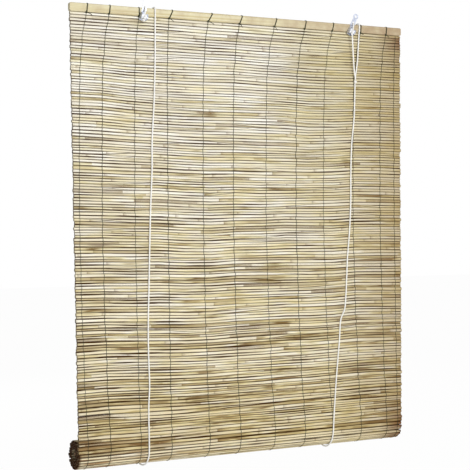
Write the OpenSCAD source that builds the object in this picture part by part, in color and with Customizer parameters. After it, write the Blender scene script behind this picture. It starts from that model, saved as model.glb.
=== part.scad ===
// Roll-up reed blind: a wooden head rail, a mat of bound reeds whose lower end is rolled up
// behind it, two strap brackets with guide wheels, and two lift cords that sling the roll.
// The front faces -Y, +X is to the right seen from the front, and the origin lies midway
// between the two hanging eyes.

/* [Head rail] */
// Width of the blind, shared by the rail and the mat
blind_w = 900; // [700:10:1400]
// Height of the rail's face
rail_h = 20; // [17:1:30]
// Thickness of the rail, front to back
rail_t = 12; // [9:0.5:18]
// Rounding of the rail's long edges
rail_edge_r = 3; // [1:0.5:4]
// Rounding of the rail's ends, seen from the front
rail_end_r = 4; // [1:0.5:6]

/* [Reed mat] */
// Number of reeds that hang between the rail and the roll
hang_reeds = 149; // [60:1:200]
// Mean diameter of a hanging reed
reed_d = 7.2; // [6:0.1:9]
// How much a reed's radius differs from the mean
reed_vary = 0.1; // [0:0.02:0.2]
// How far neighbouring reeds press into each other
reed_press = 0.25; // [0.2:0.05:0.6]
// How far reed ends fall short of the mat's side edges
ragged = 4; // [0:0.5:8]
// How far the left edge leans in over the height of the mat
left_lean_in = 12; // [0:1:20]
// How far the right edge leans in over the height of the mat
right_lean_in = 4; // [0:1:20]
// Chinks between reeds where light shows through
chinks = 120; // [0:1:120]
// Height of one chink
chink_h = 0.9; // [0.4:0.1:1.4]
// Distance from a chink's end to the warp beside it
chink_margin = 8; // [4:1:12]

/* [Roll] */
// Distance from the roll's axis to the first rolled reed
roll_r = 34; // [30:0.5:45]
// Diameter of a rolled reed
roll_reed_d = 6.6; // [5:0.1:6.7]
// Distance between rolled reeds along the turns
roll_pitch = 6.9; // [6.8:0.1:9]
// Distance from one turn to the next
turn_pitch = 6.9; // [6.8:0.1:9]
// How far the reed ends stand out of the packed turns
end_depth = 9; // [6:0.5:14]
// Width of the batten that the mat is rolled on
batten_w = 16; // [10:0.5:18]
// Thickness of that batten
batten_t = 7; // [5:0.5:9]

/* [Warp threads] */
// Thickness of a warp thread
thread_t = 0.8; // [0.5:0.1:1.2]
// Breadth of a warp thread
thread_w = 1.4; // [0.8:0.1:2]
// Room between a warp thread and what it binds
thread_gap = 0.1; // [0.05:0.05:0.3]

/* [Brackets] */
// Distance of the left hanging eye from the rail's left end
left_eye_inset = 188; // [120:1:300]
// Distance of the right hanging eye from the rail's right end
right_eye_inset = 138; // [90:1:300]
// Height of the hanging eyes above the rail
eye_rise = 20; // [18:0.5:24]
// Diameter of a hanging eye
eye_d = 7; // [5:0.5:8]
// Width of the strap round a hanging eye
eye_rim_d = 14; // [12:0.5:18]
// Turn of the left bracket on its screw
left_turn = 15; // [10:1:16]
// Turn of the right bracket on its screw
right_turn = 25; // [20:1:26]
// Thickness of the strap
strap_t = 1.5; // [1:0.1:2]
// Outer width of the folded channel
channel_w = 16; // [15:0.5:22]
// Outer bend radius of the channel's folds
bend_r = 2.5; // [2:0.1:4]
// Width of the neck above the channel
neck_w = 11; // [9:0.5:13]
// Width of the cord window in the neck
window_w = 5.6; // [5:0.1:6]
// Height of the cord window
window_h = 10; // [8:0.5:11]
// Radius of the cheeks round the wheel
cheek_r = 8; // [7:0.5:9.5]

/* [Guide wheels] */
// Radius of a wheel's rim
wheel_r = 6.2; // [6:0.1:6.8]
// Radius of the groove's floor
groove_r = 3.9; // [3.2:0.1:4]
// Width of the groove
groove_w = 5.2; // [4.5:0.1:7]
// Diameter of the axle rivet
axle_d = 3; // [2.5:0.1:3.6]
// Running clearance round the axle
axle_gap = 0.05; // [0.02:0.01:0.1]
// Side clearance of the wheel between the cheeks
wheel_side_gap = 0.4; // [0.2:0.1:0.8]
// Depth of the wheel's axis below the hanging eye, along the bracket
wheel_drop = 44; // [43.5:0.5:44.5]
// Room between the wheel's rim and the strap behind it
wheel_back_gap = 1; // [0.8:0.1:3]
// Diameter of a rivet head
rivet_head_d = 5.6; // [4.5:0.1:7]
// Height of a rivet head
rivet_head_h = 1.1; // [0.8:0.1:1.6]

/* [Screws and staples] */
// Diameter of a bracket screw's shank
screw_d = 2.9; // [2.5:0.1:3.5]
// Length of a bracket screw under its head, past the strap
screw_len = 8; // [6:0.5:8.5]
// Diameter of a bracket screw's head
screw_head_d = 6; // [5:0.1:7]
// Height of a bracket screw's head
screw_head_h = 1.8; // [1.2:0.1:2.2]
// Depth of the screw below the hanging eye, along the bracket
screw_drop = 29; // [28.5:0.5:30]
// Wire diameter of a cord staple
staple_d = 1.6; // [1.2:0.1:2]
// Distance between a staple's legs
staple_w = 7; // [6.5:0.5:9]
// Depth of a staple's legs in the rail
staple_depth = 6; // [4:0.5:7]
// Clearance of screws and staples in their holes
hole_gap = 0.05; // [0.02:0.01:0.1]

/* [Lift cords] */
// Diameter of a lift cord
cord_d = 3.8; // [3:0.1:3.9]
// Diameter of the knot that stops the left cord
stop_knot_d = 8.5; // [7:0.5:9]
// Diameter of the knot that ties the right cord back on itself
tie_knot_d = 9; // [8:0.5:11]
// Diameter of the small knots at the cords' ends
end_knot_d = 8; // [7:0.5:9]

/* [Hidden] */
$fn = 48;

wood = "#dcd2ac";
reed = "#cfc5a0";
reed_dark = "#a8976c";
thread_green = "#3c4236";
zinc = "#c9ccd8";
nylon = "#eef0f2";
steel = "#9a9ca4";
cotton = "#f6f3ea";

// Overlap that joins pieces of one solid, and the overshoot of cuts
joint = 0.5;
over = 1;

// The frame: x from the rail's left end, y from the mat's plane, z from the rail's top
eye_span = blind_w - left_eye_inset - right_eye_inset;
x_left = -left_eye_inset - eye_span / 2;
rail_top = -eye_rise;
mat_y = (rail_t + strap_t) / 2;
rail_front = -rail_t / 2;
rail_back = rail_t / 2;

// Warps as the weaver set them: their places at the rail's foot, how far each leans to the left on
// the rail's face, and how far at most it strays to the left on its way down the mat
warp_shares = [0.044, 0.105, 0.187, 0.272, 0.385, 0.478, 0.585, 0.680, 0.769, 0.8625, 0.948, 0.982];
warp_leans = [2, 2, 0, 8, 10, 7, 6, 4, 4, 1, 2, 0];
warp_strays = [20, 20, 13, 6, 16, 19, 26, 27, 28, 25, 20, 7];
// Share of that straying at shares of the way from the rail to the roll
stray_steps = [
  [0, 0], [0.06, 0.5], [0.13, 0.8], [0.26, 0.93], [0.47, 1], [0.67, 0.84], [0.81, 0.6], [1, 0.2]
];
// Warps that loop over the rail, from the left; the others begin at the first reed
rail_loops = 11;
warp_x = [for (s = warp_shares) s * blind_w];

// Hanging reeds
reed_pitch = reed_d - reed_press - 2 * reed_vary;
reed_r_max = reed_d / 2 + reed_vary;
reed_swell = rands(-1, 1, hang_reeds, 11);
ragged_left = rands(0, 1, hang_reeds, 23);
ragged_right = rands(0, 1, hang_reeds, 37);
first_z = -rail_h - thread_gap - reed_r_max;
last_z = first_z - (hang_reeds - 1) * reed_pitch;
function reed_z(i) = first_z - i * reed_pitch;
function reed_start(i) = left_lean_in * i / hang_reeds + ragged * ragged_left[i];
function reed_end(i) = blind_w - right_lean_in * i / hang_reeds - ragged * ragged_right[i];

// Rolled reeds: a spiral from the mat's plane under, behind and inward
roll_y = roll_r;
roll_z = last_z - reed_r_max - roll_reed_d / 2 - thread_gap;
roll_start = left_lean_in;
roll_len = blind_w - left_lean_in - right_lean_in;
core_r = norm([batten_w, batten_t]) / 2 + roll_reed_d / 2 + thread_gap;
function spiral_r(a) = roll_r - turn_pitch * a / 360;
function spiral_at(a, out = 0) =
  [roll_y - (spiral_r(a) + out) * cos(a), roll_z - (spiral_r(a) + out) * sin(a)];
// Angle of each rolled reed, one pitch of arc after the one before
function spiral_angles(a = 0) =
  spiral_r(a) < core_r ? [] : concat([a], spiral_angles(a + roll_pitch / spiral_r(a) * 180 / PI));
roll_angles = spiral_angles();
outer_angles = [for (a = roll_angles) if (a < 360 - roll_pitch / roll_r * 90 / PI) a];
inner_angles = [for (a = roll_angles) if (a >= 360 - roll_pitch / roll_r * 90 / PI) a];
roll_ragged = rands(0, 1, len(roll_angles), 41);

// Place of a warp at a height on the mat
function warp_at(k, z) = warp_x[k] - warp_strays[k] * lookup((rail_h + z) / (rail_h + roll_z), stray_steps);
function stray_z(i) = -rail_h + stray_steps[i][0] * (rail_h + roll_z);

// Warp threads: one band over the rail, down the front and round the roll
thread_mid = thread_gap + thread_t / 2;
mat_face = reed_r_max + thread_mid;
thread_last = 300;
thread_step = 10;
back_foot_z = roll_z + roll_r;
// Room for the chords round the roll, and for the step from hanging to rolled reeds
thread_sag = roll_r * (1 - cos(thread_step / 2)) + reed_r_max - roll_reed_d / 2;
// A thread's place at a direction round one of the rail's rounded corners
corner_r = (rail_edge_r + thread_mid) / cos(15);
function rail_corner(sy, sz, a) = [
  sy * (rail_t / 2 - rail_edge_r) + corner_r * cos(a),
  -rail_h / 2 + sz * (rail_h / 2 - rail_edge_r) + corner_r * sin(a)
];
last_stray = len(stray_steps) - 2;
back_path = concat(
  [[mat_face, back_foot_z]],
  [for (i = [last_stray : -1 : 1]) [mat_face, stray_z(i)]],
  [[mat_face, -rail_h - reed_r_max]]
);
rail_path = concat(
  [for (a = [-60 : 30 : 0]) rail_corner(1, -1, a)],
  [for (a = [0 : 30 : 90]) rail_corner(1, 1, a)],
  [for (a = [90 : 30 : 180]) rail_corner(-1, 1, a)],
  [for (a = [180 : 30 : 240]) rail_corner(-1, -1, a)]
);
front_path = concat(
  [[-mat_face, -rail_h - reed_r_max]],
  [for (i = [1 : last_stray]) [-mat_face, stray_z(i)]],
  [for (a = [0 : thread_step : thread_last]) spiral_at(a, roll_reed_d / 2 + thread_mid + thread_sag)]
);

// Brackets: places in the bracket's own frame, whose origin is its hanging eye
plate_back = rail_front;
plate_front = plate_back - strap_t;
wheel_y = plate_front - wheel_back_gap - wheel_r;
wheel_w = channel_w - 2 * strap_t - 2 * wheel_side_gap;
bracket_foot = -wheel_drop - cheek_r;
shoulder_z = -eye_rise - rail_edge_r;
flare_h = (channel_w - neck_w) * 1.2;
window_z = -eye_rise + 1;
rivet_round = (pow(rivet_head_d / 2, 2) + pow(rivet_head_h, 2)) / (2 * rivet_head_h);
screw_round = (pow(screw_head_d / 2, 2) + pow(screw_head_h, 2)) / (2 * screw_head_h);

// Cord routes: x from the bracket's eye, y from the mat's plane, z from the rail's top
left_route = [
  [20, 10.3, -17], [20, 8.4, -9], [20, 8.3, -4], [20, 7.4, 1], [20, 4.6, 2.4], [20, -4.5, 2.4],
  [20, -8, 0.8], [20, -9.2, -4], [20, -9.2, -17], [20, -8.5, -24], [19.5, -7.5, -110],
  [16, -7.5, -213], [10, -7.5, -311], [9, -7.5, -376], [4, -7.5, -480], [-1, -7.5, -640],
  [-4, -7.5, -740], [-4, -7.5, -800], [-2, -7.5, -880], [-4.5, -7.5, -930], [-4, -7.5, -1028],
  [-4, -5, -1042.5], [-4.5, 1, -1054], [-5, 10.5, -1062.5], [-6, 21.5, -1068], [-7, 34, -1069.5],
  [-8, 46, -1067.5], [-8.5, 57, -1061.5], [-9, 65, -1052.5], [-9, 70.5, -1041.5], [-9, 72, -1031],
  [-4.7, 9.5, -22], [-4.7, 8.3, -4], [-4.7, 7.4, 1], [-4.7, 4.6, 2.4], [-4.7, -5, 2.4],
  [-4.9, -8.5, 1.4], [-10.7, -20.05, -19.9], [-11.4, -20.75, -22.5], [-12.7, -20.6, -27.3]
];
right_route = [
  [9, 10.3, -17], [9, 8.4, -9], [9, 8.3, -4], [9, 7.4, 1], [9, 4.6, 2.4], [9, -4.5, 2.4],
  [9, -8, 0.8], [9, -9.2, -4], [8.5, -9.2, -17], [8.2, -8.5, -24], [6.5, -7.5, -53],
  [3.2, -7.5, -94], [-4, -7.5, -140], [-5, -7.5, -166], [-8, -7.5, -236], [-16, -7.5, -307],
  [-19, -7.5, -378], [-20, -7.5, -449], [-24, -7.5, -520], [-31, -7.5, -590], [-34, -7.5, -643],
  [-37, -7.5, -690], [-41, -7.5, -722], [-52, -7.5, -746], [-57, -7.5, -800], [-67, -7.5, -896],
  [-75, -7.5, -995], [-77, -7.5, -1028], [-78, -5, -1042.5], [-78.5, 1, -1054], [-79, 10.5, -1062.5],
  [-79, 21.5, -1068], [-79, 34, -1069.5], [-79, 46, -1067.5], [-79, 57, -1061.5],
  [-78, 65, -1052.5], [-77, 70.5, -1041.5], [-75, 72, -1031], [-8, 9.5, -22], [-7.5, 8.3, -4],
  [-7.5, 7.4, 1], [-7.5, 4.6, 2.4], [-7.6, -5, 2.4], [-8, -8.5, 1.8], [-17.4, -20.05, -17.4],
  [-18.6, -20.75, -19.9], [-21.1, -20.7, -25.3], [-19.5, -20.2, -34], [-16.5, -18, -66],
  [-11, -14.5, -116], [-6, -12.5, -141]
];
stop_knot_at = [-13.8, -20.2, -31.7];
tie_knot_at = [-5, -10.2, -146];
cord_sides = 8;

// Cord staples: on the back of the rail, over each cord's tied end
staple_z = -8;
staple_rise = cord_d / 2 + 0.7;

// A place given from the rail's left end and top, in the blind's own frame
module on_blind(p = [0, 0, 0]) {
  translate([x_left + p[0], mat_y + p[1], rail_top + p[2]]) children();
}

// Places given from the x of an eye, as the cords' are
module by_left_eye(p = [0, 0, 0]) {
  on_blind([left_eye_inset + p[0], p[1], p[2]]) children();
}

module by_right_eye(p = [0, 0, 0]) {
  on_blind([blind_w - right_eye_inset + p[0], p[1], p[2]]) children();
}

// A bracket's own frame, hung at its eye and turned on its screw
module at_left_eye() {
  translate([-eye_span / 2, mat_y, 0]) rotate([0, left_turn, 0]) children();
}

module at_right_eye() {
  translate([eye_span / 2, mat_y, 0]) rotate([0, right_turn, 0]) children();
}

// Extrude an outline drawn as (y, z) along +X
module along_x(len) {
  rotate([90, 0, 90]) linear_extrude(height = len) children();
}

// Extrude an outline drawn as (x, z) toward the back, from y = 0
module toward_back(len) {
  translate([0, len, 0]) rotate([90, 0, 0]) linear_extrude(height = len) children();
}

module rounded_rect(w, h, r) {
  square([w - 2 * r, h], center = true);
  square([w, h - 2 * r], center = true);
  for (sx = [-1, 1], sy = [-1, 1]) translate([sx * (w / 2 - r), sy * (h / 2 - r)]) circle(r = r);
}

// A solid through rings of points, one after the other along a route
module sweep(rings) {
  m = len(rings[0]);
  walls = [
    for (i = [0 : len(rings) - 2], k = [0 : m - 1])
      let (a = i * m + k, b = i * m + (k + 1) % m)
      [a, a + m, b + m, b]
  ];
  start_cap = [for (k = [0 : m - 1]) k];
  end_cap = [for (k = [m - 1 : -1 : 0]) (len(rings) - 1) * m + k];
  polyhedron(points = [for (r = rings) each r], faces = concat(walls, [start_cap, end_cap]));
}

function unit(v) = v / norm(v);
function path_way(p, i) = unit(p[min(i + 1, len(p) - 1)] - p[max(i - 1, 0)]);

// A round cord swept along its route
function ring_side(way) = unit([1, 0, 0] - way * way[0]);
function ring(p, i, r) =
  let (way = path_way(p, i), u = ring_side(way), v = cross(way, u))
  [for (k = [0 : cord_sides - 1]) p[i] + r * (u * cos(k * 360 / cord_sides) + v * sin(k * 360 / cord_sides))];
module cord_tube(route, r) {
  sweep([for (i = [0 : len(route) - 1]) ring(route, i, r)]);
}

// A flat thread along a path of (y, z) places, each with its place across the mat
thread_corners = [[1, 1], [-1, 1], [-1, -1], [1, -1]];
function thread_section(path, x, i) =
  let (way = path_way(path, i), out = [way[1], -way[0]] * thread_t / 2)
  [for (c = thread_corners) let (p = path[i] + c[1] * out) [x + c[0] * thread_w / 2, p[0], p[1]]];
// A thread leans on the rail's face: on the rail's top and back it lies to the right of its foot
function on_loop(p) = p[1] > -rail_h / 2 || p[0] > 0 && p[1] > -rail_h;
function thread_x(k, p) = warp_at(k, p[1]) + (on_loop(p) ? warp_leans[k] : 0);
module thread(k, path) {
  sweep([for (i = [0 : len(path) - 1]) thread_section(path, thread_x(k, path[i]), i)]);
}

// Rail: a planed batten, drilled for the bracket screws and the cord staples
module top_rail() {
  color(wood) difference() {
    intersection() {
      on_blind([0, 0, -rail_h / 2]) along_x(blind_w) rounded_rect(rail_t, rail_h, rail_edge_r);
      on_blind([blind_w / 2, -rail_t, -rail_h / 2])
        toward_back(2 * rail_t) rounded_rect(blind_w, rail_h, rail_end_r);
    }
    at_left_eye() screw_hole();
    at_right_eye() screw_hole();
    by_left_eye([left_route[0][0], rail_back, staple_z]) staple_holes();
    by_right_eye([right_route[0][0], rail_back, staple_z]) staple_holes();
  }
}

module screw_hole() {
  translate([0, plate_back - over, -screw_drop])
    rotate([-90, 0, 0]) cylinder(d = screw_d + 2 * hole_gap, h = over + screw_len + hole_gap);
}

module staple_holes() {
  for (s = [-1, 1]) translate([s * staple_w / 2, over, 0])
    rotate([90, 0, 0]) cylinder(d = staple_d + 2 * hole_gap, h = over + staple_depth + hole_gap);
}

// Mat: reeds laid side by side into one ridged wall, with chinks between warps
module reed_mat() {
  color(reed) difference() {
    for (i = [0 : hang_reeds - 1]) on_blind([reed_start(i), 0, reed_z(i)])
      rotate([0, 90, 0]) cylinder(r = reed_d / 2 + reed_vary * reed_swell[i], h = reed_end(i) - reed_start(i));
    for (i = [0 : min(chinks, hang_reeds - 1) - 1]) chink(i, (i * 4) % (len(warp_x) - 3));
  }
}

module chink(i, bay) {
  from_x = warp_at(bay, reed_z(i)) + chink_margin;
  to_x = warp_at(bay + 1, reed_z(i)) - chink_margin;
  on_blind([from_x, -reed_d, reed_z(i) - reed_pitch / 2 - chink_h / 2])
    cube([to_x - from_x, 2 * reed_d, chink_h]);
}

// Roll: the turns packed into one solid, with every reed's end standing out of both ends
module mat_roll() {
  color(reed_dark) difference() {
    union() {
      on_blind([roll_start + end_depth, 0, 0]) along_x(roll_len - 2 * end_depth)
        polygon([for (a = outer_angles) spiral_at(a)]);
      for (k = [0 : len(outer_angles) - 1]) rolled_reed(outer_angles[k], ragged * roll_ragged[k], roll_len);
      for (k = [0 : len(inner_angles) - 1]) {
        short = ragged * roll_ragged[len(outer_angles) + k];
        rolled_reed(inner_angles[k], short, end_depth + over);
        translate([roll_len - end_depth - over, 0, 0]) rolled_reed(inner_angles[k], 0, end_depth + over - short);
      }
    }
    on_blind([roll_start, roll_y, roll_z]) translate([-over, 0, 0]) along_x(roll_len + 2 * over)
      square([batten_w + 2 * hole_gap, batten_t + 2 * hole_gap], center = true);
  }
}

module rolled_reed(a, short, length) {
  at = spiral_at(a);
  on_blind([roll_start + short, at[0], at[1]])
    rotate([0, 90, 0]) cylinder(d = roll_reed_d, h = length - short);
}

module core_batten() {
  color(wood) on_blind([roll_start + end_depth / 2, roll_y, roll_z]) along_x(roll_len - end_depth)
    square([batten_w, batten_t], center = true);
}

module warp_threads() {
  color(thread_green) on_blind() {
    for (k = [0 : rail_loops - 1]) thread(k, concat(back_path, rail_path, front_path));
    for (k = [rail_loops : len(warp_x) - 1]) {
      thread(k, back_path);
      thread(k, front_path);
    }
  }
}

// Bracket: one strap, with an eye above the rail, a cord window in its neck and two cheeks
// folded forward round the wheel
module bracket() {
  color(zinc) difference() {
    union() {
      translate([0, plate_front, 0]) toward_back(strap_t) bracket_plate();
      intersection() {
        translate([0, 0, bracket_foot]) linear_extrude(height = -bracket_foot) channel_section();
        translate([-channel_w / 2, 0, 0]) along_x(channel_w) cheek_outline();
      }
    }
    translate([-channel_w, wheel_y, -wheel_drop]) rotate([0, 90, 0]) cylinder(d = axle_d, h = 2 * channel_w);
    translate([0, plate_front - over, -screw_drop])
      rotate([-90, 0, 0]) cylinder(d = screw_d + 2 * hole_gap, h = strap_t + 2 * over);
  }
}

module bracket_plate() {
  difference() {
    union() {
      circle(d = eye_rim_d);
      translate([-neck_w / 2, shoulder_z - joint]) square([neck_w, -shoulder_z + joint]);
      polygon([
        [-neck_w / 2, shoulder_z], [neck_w / 2, shoulder_z],
        [channel_w / 2 - bend_r, shoulder_z - flare_h], [channel_w / 2 - bend_r, bracket_foot + bend_r],
        [-channel_w / 2 + bend_r, bracket_foot + bend_r], [-channel_w / 2 + bend_r, shoulder_z - flare_h]
      ]);
    }
    circle(d = eye_d);
    translate([-window_w / 2, window_z - window_h / 2]) square([window_w, window_h]);
  }
}

// Plan of the channel: a back with two forward legs and round folds
module channel_section() {
  depth = plate_back - (wheel_y - cheek_r - over);
  difference() {
    channel_plan(channel_w, depth, bend_r, plate_back);
    channel_plan(channel_w - 2 * strap_t, depth + over, bend_r - strap_t, plate_front);
  }
}

module channel_plan(w, depth, r, back) {
  translate([-w / 2, back - depth]) square([w, depth - r]);
  translate([-w / 2 + r, back - depth]) square([w - 2 * r, depth]);
  for (s = [-1, 1]) translate([s * (w / 2 - r), back - r]) circle(r = r);
}

// Side view of a cheek: round about the axle, straight back to the strap
module cheek_outline() {
  translate([wheel_y, -wheel_drop]) circle(r = cheek_r);
  translate([wheel_y, -wheel_drop - cheek_r]) square([plate_back - wheel_y, 2 * cheek_r]);
}

module left_bracket() {
  at_left_eye() bracket();
}

module right_bracket() {
  at_right_eye() bracket();
}

// Guide wheel: a grooved nylon roller that turns on the axle rivet
module guide_wheel() {
  color(nylon) translate([0, wheel_y, -wheel_drop]) rotate([0, 90, 0]) rotate_extrude() difference() {
    translate([axle_d / 2 + axle_gap, -wheel_w / 2]) square([wheel_r - axle_d / 2 - axle_gap, wheel_w]);
    translate([groove_r + groove_w / 2, 0]) circle(d = groove_w);
    translate([groove_r + groove_w / 2, -groove_w / 2]) square([wheel_r, groove_w]);
  }
}

module left_wheel() {
  at_left_eye() guide_wheel();
}

module right_wheel() {
  at_right_eye() guide_wheel();
}

// Axle: a rivet with a domed head outside each cheek
module axle_rivet() {
  color(steel) translate([0, wheel_y, -wheel_drop]) rotate([0, 90, 0]) {
    cylinder(d = axle_d, h = channel_w + 2 * joint, center = true);
    for (s = [0, 1]) mirror([0, 0, s]) translate([0, 0, channel_w / 2]) dome(rivet_round, rivet_head_h);
  }
}

// A shallow dome of a given sphere radius, standing on z = 0
module dome(r, h) {
  intersection() {
    translate([0, 0, h - r]) sphere(r = r);
    cylinder(r = r, h = h);
  }
}

module left_axle() {
  at_left_eye() axle_rivet();
}

module right_axle() {
  at_right_eye() axle_rivet();
}

// Round-head wood screw through the strap into the rail
module bracket_screw() {
  translate([0, plate_front, -screw_drop]) {
    rotate([90, 0, 0]) dome(screw_round, screw_head_h);
    translate([0, -joint, 0]) rotate([-90, 0, 0]) cylinder(d = screw_d, h = joint + strap_t + screw_len);
  }
}

module bracket_screws() {
  color(steel) {
    at_left_eye() bracket_screw();
    at_right_eye() bracket_screw();
  }
}

// Staple: a bent wire over the cord, its legs driven into the rail
module cord_staple() {
  for (s = [-1, 1]) translate([s * staple_w / 2, staple_rise, 0])
    rotate([90, 0, 0]) cylinder(d = staple_d, h = staple_rise + staple_depth);
  translate([0, staple_rise, 0]) rotate_extrude(angle = 180) translate([staple_w / 2, 0]) circle(d = staple_d);
}

module cord_staples() {
  color(steel) {
    by_left_eye([left_route[0][0], rail_back, staple_z]) cord_staple();
    by_right_eye([right_route[0][0], rail_back, staple_z]) cord_staple();
  }
}

module left_cord() {
  color(cotton) by_left_eye() cord_tube(left_route, cord_d / 2);
}

module right_cord() {
  color(cotton) by_right_eye() cord_tube(right_route, cord_d / 2);
}

// Knots: round hitches, fatter than the cord
module left_stop_knot() {
  color(cotton) by_left_eye(stop_knot_at) sphere(d = stop_knot_d);
}

module right_tie_knot() {
  color(cotton) by_right_eye(tie_knot_at) sphere(d = tie_knot_d);
}

module cord_end_knots() {
  color(cotton) {
    by_left_eye(left_route[0]) sphere(d = end_knot_d);
    by_right_eye(right_route[0]) sphere(d = end_knot_d);
  }
}

top_rail();
reed_mat();
mat_roll();
core_batten();
warp_threads();
left_bracket();
right_bracket();
left_wheel();
right_wheel();
left_axle();
right_axle();
bracket_screws();
cord_staples();
left_cord();
right_cord();
left_stop_knot();
right_tie_knot();
cord_end_knots();
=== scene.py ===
import math
import random
from functools import partial

import bpy
from bpy.props import FloatProperty, FloatVectorProperty, IntProperty, PointerProperty
from mathutils import Matrix, Vector


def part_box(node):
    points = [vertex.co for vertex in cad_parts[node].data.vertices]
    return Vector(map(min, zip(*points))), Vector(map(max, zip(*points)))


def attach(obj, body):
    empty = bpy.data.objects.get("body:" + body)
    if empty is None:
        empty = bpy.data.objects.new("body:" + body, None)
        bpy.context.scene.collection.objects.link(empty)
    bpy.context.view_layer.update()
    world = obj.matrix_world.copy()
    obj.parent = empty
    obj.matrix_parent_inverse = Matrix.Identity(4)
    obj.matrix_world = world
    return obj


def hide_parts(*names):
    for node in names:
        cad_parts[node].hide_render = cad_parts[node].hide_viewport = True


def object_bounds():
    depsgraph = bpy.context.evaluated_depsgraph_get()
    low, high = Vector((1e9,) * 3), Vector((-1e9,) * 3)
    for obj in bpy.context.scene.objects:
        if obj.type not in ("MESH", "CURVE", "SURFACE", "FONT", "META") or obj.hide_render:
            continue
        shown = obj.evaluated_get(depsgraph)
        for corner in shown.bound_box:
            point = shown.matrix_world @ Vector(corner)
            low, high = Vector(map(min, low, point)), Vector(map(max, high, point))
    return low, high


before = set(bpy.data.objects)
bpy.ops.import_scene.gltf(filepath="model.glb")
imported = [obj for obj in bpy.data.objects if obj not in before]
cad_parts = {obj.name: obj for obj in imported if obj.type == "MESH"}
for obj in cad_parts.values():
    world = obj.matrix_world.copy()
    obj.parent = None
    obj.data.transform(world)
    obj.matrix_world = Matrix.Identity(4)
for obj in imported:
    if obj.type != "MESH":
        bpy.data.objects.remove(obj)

bl_info = {
    "name": "Roll-up Reed Blind",
    "version": (1, 0, 0),
    "blender": (4, 5, 0),
    "location": "View3D > Sidebar > Reed Blind",
    "description": "Dresses the packed blind: reeds, threads, rail, fittings, cords and a studio stage",
    "category": "Object",
}

CAD_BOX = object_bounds()
RAIL_LOW, RAIL_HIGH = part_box("top_rail")
MAT_LOW, MAT_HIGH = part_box("reed_mat")
ROLL_LOW, ROLL_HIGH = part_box("mat_roll")
MM = 0.001

# The mat hangs in the middle of the rail's thickness.
MAT_Y = (RAIL_LOW.y + RAIL_HIGH.y) / 2

# Node kinds that are used over and over, some with their settings.
PLUS, MINUS, TIMES, OVER, TIMES_PLUS, LEAST, MOST, BELOW, FLOOR, FRACTION, ABSOLUTE, ROOT, SINE, COSINE = [
    ("ShaderNodeMath", {"operation": name}) for name in (
        "ADD", "SUBTRACT", "MULTIPLY", "DIVIDE", "MULTIPLY_ADD", "MINIMUM", "MAXIMUM", "LESS_THAN", "FLOOR",
        "FRACT", "ABSOLUTE", "SQRT", "SINE", "COSINE")]
# Fed in order with the value, the two ends it runs between, and what these become.
RANGE = "ShaderNodeMapRange"
SMOOTH_RANGE = (RANGE, {"interpolation_type": "SMOOTHSTEP"})
# Fed in order with the place, the scale and the detail.
NOISE = "ShaderNodeTexNoise"
# Fed in order with the share, what lies below and the colour on it: as a coat, or as a filter.
COAT = ("ShaderNodeMix", {"data_type": "RGBA"})
FILTER = ("ShaderNodeMix", {"data_type": "RGBA", "blend_type": "MULTIPLY"})
VECTOR = "ShaderNodeCombineXYZ"
SCALED, OFFSET, TOGETHER, DOT, CROSS = [
    ("ShaderNodeVectorMath", {"operation": name})
    for name in ("SCALE", "SUBTRACT", "ADD", "DOT_PRODUCT", "CROSS_PRODUCT")]
# Fed in order with the least and most, what is drawn for, and the seed.
RANDOM = "FunctionNodeRandomValue"
STORE = "GeometryNodeStoreNamedAttribute"
STORE_VECTOR = (STORE, {"data_type": "FLOAT_VECTOR"})
STORED = ("GeometryNodeInputNamedAttribute", {"data_type": "FLOAT"})
STORED_VECTOR = ("GeometryNodeInputNamedAttribute", {"data_type": "FLOAT_VECTOR"})
PLACE = "GeometryNodeInputPosition"
MOVE = "GeometryNodeSetPosition"
SECTION = "GeometryNodeCurvePrimitiveCircle"
SWEEP = "GeometryNodeCurveToMesh"
SMOOTH = "GeometryNodeSetShadeSmooth"

# Warp threads: place at the rail's foot as a share of the width, lean to the left on the rail's face, and
# straying to the left on the way down the mat at most, both in millimetres.
WARPS = (
    (0.044, 2, 20), (0.105, 2, 20), (0.187, 0, 13), (0.272, 8, 6), (0.385, 10, 16), (0.478, 7, 19),
    (0.585, 6, 26), (0.680, 4, 27), (0.769, 4, 28), (0.8625, 1, 25), (0.948, 2, 20), (0.982, 0, 7),
)
# Warps that loop over the rail, from the left. The others begin at the first reed.
RAIL_LOOPS = 11
# Share of that straying at shares of the way from the rail to the roll.
WANDER = ((0, 0), (0.06, 0.5), (0.13, 0.8), (0.26, 0.93), (0.47, 1), (0.67, 0.84), (0.81, 0.6), (1, 0.2))

# Lift cords, in millimetres: x from that side's hanging eye, y from the mat, z from the rail's top.
EYE_X = 287
LEFT_ROUTE = (
    (20, 10.3, -17), (20, 8.4, -9), (20, 8.3, -4), (20, 7.4, 1), (20, 4.6, 2.4), (20, -4.5, 2.4),
    (20, -8, 0.8), (20, -9.2, -4), (20, -9.2, -17), (20, -8.5, -24), (19.5, -7.5, -110), (16, -7.5, -213),
    (10, -7.5, -311), (9, -7.5, -376), (4, -7.5, -480), (-1, -7.5, -640), (-4, -7.5, -740), (-4, -7.5, -800),
    (-2, -7.5, -880), (-4.5, -7.5, -930), (-4, -7.5, -1028), (-4, -5, -1042.5), (-4.5, 1, -1054),
    (-5, 10.5, -1062.5), (-6, 21.5, -1068), (-7, 34, -1069.5), (-8, 46, -1067.5), (-8.5, 57, -1061.5),
    (-9, 65, -1052.5), (-9, 70.5, -1041.5), (-9, 72, -1031), (-4.7, 9.5, -22), (-4.7, 8.3, -4),
    (-4.7, 7.4, 1), (-4.7, 4.6, 2.4), (-4.7, -5, 2.4), (-4.9, -8.5, 1.4), (-10.7, -20.05, -19.9),
    (-11.4, -20.75, -22.5), (-12.7, -20.6, -27.3),
)
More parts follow.
